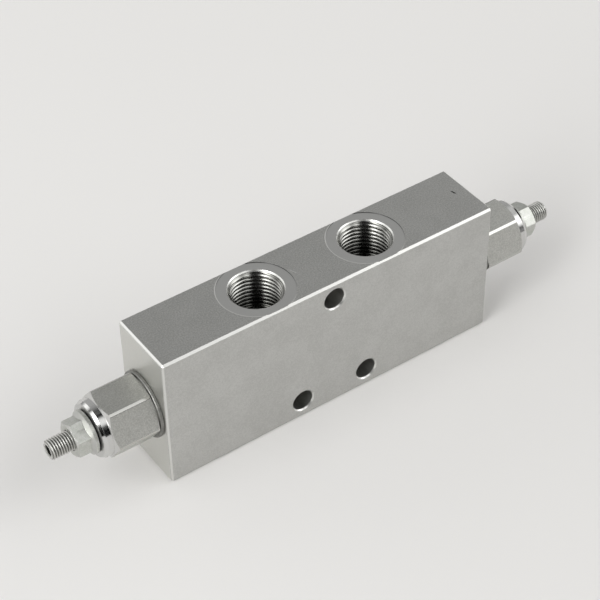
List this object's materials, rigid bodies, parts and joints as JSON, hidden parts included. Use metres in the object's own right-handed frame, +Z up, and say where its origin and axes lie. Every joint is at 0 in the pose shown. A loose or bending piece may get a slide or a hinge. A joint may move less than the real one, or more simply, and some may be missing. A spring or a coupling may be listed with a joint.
{
  "type": "hydraulic brake valve",
  "caption": "Steel hydraulic brake valve block with threaded ports, cross holes for mounting and a screw adjuster with lock nut at each end.",
  "frame": {"origin": "under the middle of the block, on the face that it rests on", "axes": "+X along the block and both adjusters, +Y from the face with the three hole mouths in the picture to the back, +Z up to the face with the valve ports"},
  "size_m": [0.2316, 0.03, 0.06],
  "materials": {
    "block_steel": "zinc plated, fine satin",
    "bonnet_steel": "zinc plated, turned and milled",
    "washer_steel": "zinc plated",
    "hard_steel": "hardened and ground",
    "spring_steel": "shot peened wire",
    "nut_zinc": "bright zinc plated",
    "screw_zinc": "zinc plated",
    "seal_rubber": "nitrile rubber"
  },
  "bodies": {
    "valve_body": {"valve_body": "block_steel", "bonnet_right": "bonnet_steel", "seal_washer_right": "washer_steel", "seal_lip_right": "seal_rubber", "main_spring_right": "spring_steel", "nut_seal_right": "seal_rubber", "lock_nut_right": "nut_zinc", "bonnet_left": "bonnet_steel", "seal_washer_left": "washer_steel", "seal_lip_left": "seal_rubber", "main_spring_left": "spring_steel", "nut_seal_left": "seal_rubber", "lock_nut_left": "nut_zinc"},
    "pilot_piston": {"pilot_piston": "hard_steel", "pilot_seal": "seal_rubber"},
    "main_poppet_right": {"main_poppet_right": "hard_steel", "poppet_seal_right": "seal_rubber", "check_plug_right": "hard_steel", "check_spring_right": "spring_steel"},
    "check_poppet_right": {"check_poppet_right": "hard_steel"},
    "spring_seat_right": {"spring_seat_right": "hard_steel", "spring_seat_seal_right": "seal_rubber"},
    "adjusting_screw_right": {"adjusting_screw_right": "screw_zinc"},
    "main_poppet_left": {"main_poppet_left": "hard_steel", "poppet_seal_left": "seal_rubber", "check_plug_left": "hard_steel", "check_spring_left": "spring_steel"},
    "check_poppet_left": {"check_poppet_left": "hard_steel"},
    "spring_seat_left": {"spring_seat_left": "hard_steel", "spring_seat_seal_left": "seal_rubber"},
    "adjusting_screw_left": {"adjusting_screw_left": "screw_zinc"}
  },
  "joints": [
    {"name": "pilot_piston_slide", "type": "slide", "parent": "valve_body", "child": "pilot_piston", "axis": [1, 0, 0], "range_m": [-0.0019, 0.0019]},
    {"name": "main_poppet_right_lift", "type": "slide", "parent": "valve_body", "child": "main_poppet_right", "axis": [1, 0, 0], "range_m": [0, 0.002], "stiffness_N_per_m": 2000, "springref_m": -0.002, "deforming": ["main_spring_right"]},
    {"name": "check_poppet_right_lift", "type": "slide", "parent": "main_poppet_right", "child": "check_poppet_right", "axis": [1, 0, 0], "range_m": [0, 0.0025], "stiffness_N_per_m": 200, "springref_m": -0.002, "deforming": ["check_spring_right"]},
    {"name": "spring_seat_right_slide", "type": "slide", "parent": "valve_body", "child": "spring_seat_right", "axis": [1, 0, 0], "range_m": [-0.00375, 0.001], "deforming": ["main_spring_right"]},
    {"name": "adjusting_screw_right_turn", "type": "hinge", "parent": "spring_seat_right", "child": "adjusting_screw_right", "pos_m": [0.1, 0, 0.03], "axis": [1, 0, 0], "range_deg": [-1353, 363]},
    {"name": "main_poppet_left_lift", "type": "slide", "parent": "valve_body", "child": "main_poppet_left", "axis": [-1, 0, 0], "range_m": [0, 0.002], "stiffness_N_per_m": 2000, "springref_m": -0.002, "deforming": ["main_spring_left"]},
    {"name": "check_poppet_left_lift", "type": "slide", "parent": "main_poppet_left", "child": "check_poppet_left", "axis": [-1, 0, 0], "range_m": [0, 0.0025], "stiffness_N_per_m": 200, "springref_m": -0.002, "deforming": ["check_spring_left"]},
    {"name": "spring_seat_left_slide", "type": "slide", "parent": "valve_body", "child": "spring_seat_left", "axis": [-1, 0, 0], "range_m": [-0.00375, 0.001], "deforming": ["main_spring_left"]},
    {"name": "adjusting_screw_left_turn", "type": "hinge", "parent": "spring_seat_left", "child": "adjusting_screw_left", "pos_m": [-0.1, 0, 0.03], "axis": [-1, 0, 0], "range_deg": [-1353, 363]}
  ],
  "couplings": [
    {"joint": "adjusting_screw_right_turn", "follows": "spring_seat_right_slide", "rad_per_m": 6283.2},
    {"joint": "adjusting_screw_left_turn", "follows": "spring_seat_left_slide", "rad_per_m": 6283.2}
  ]
}
